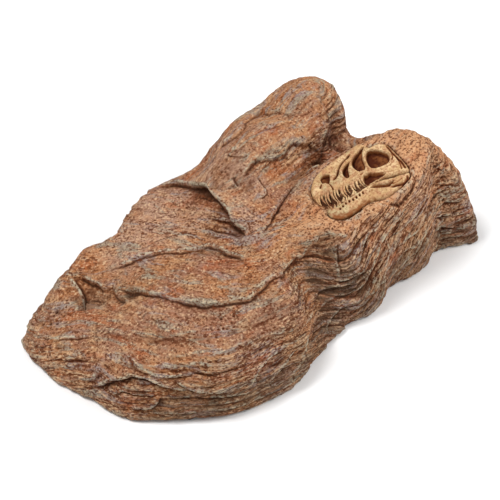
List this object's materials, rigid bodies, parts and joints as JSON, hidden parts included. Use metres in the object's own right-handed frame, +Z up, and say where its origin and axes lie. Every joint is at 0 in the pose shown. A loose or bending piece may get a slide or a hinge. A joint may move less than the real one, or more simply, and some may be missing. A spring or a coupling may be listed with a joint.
{
  "type": "resin cave ornament",
  "caption": "Low rock-shaped hide, hollow underneath with an arched mouth at its tall end, a fossil skull set into its shoulder and soft feet under its rim.",
  "frame": {"origin": "middle of the footprint, on the ground plane the feet stand on", "axes": "+X along the length, towards the tall end with the two lobes and the mouth; +Y away from the skull's side; +Z up"},
  "size_m": [0.2746, 0.1595, 0.0803],
  "materials": {
    "rock_shell": "matte",
    "skull_cranium": "matte",
    "skull_lower_jaw": "matte",
    "foot_pad": "matte"
  },
  "bodies": {
    "root": {"rock_shell": "rock_shell", "skull_cranium": "skull_cranium", "skull_lower_jaw": "skull_lower_jaw", "foot_pad_1": "foot_pad", "foot_pad_2": "foot_pad", "foot_pad_3": "foot_pad", "foot_pad_4": "foot_pad", "foot_pad_5": "foot_pad", "foot_pad_6": "foot_pad"}
  },
  "joints": []
}
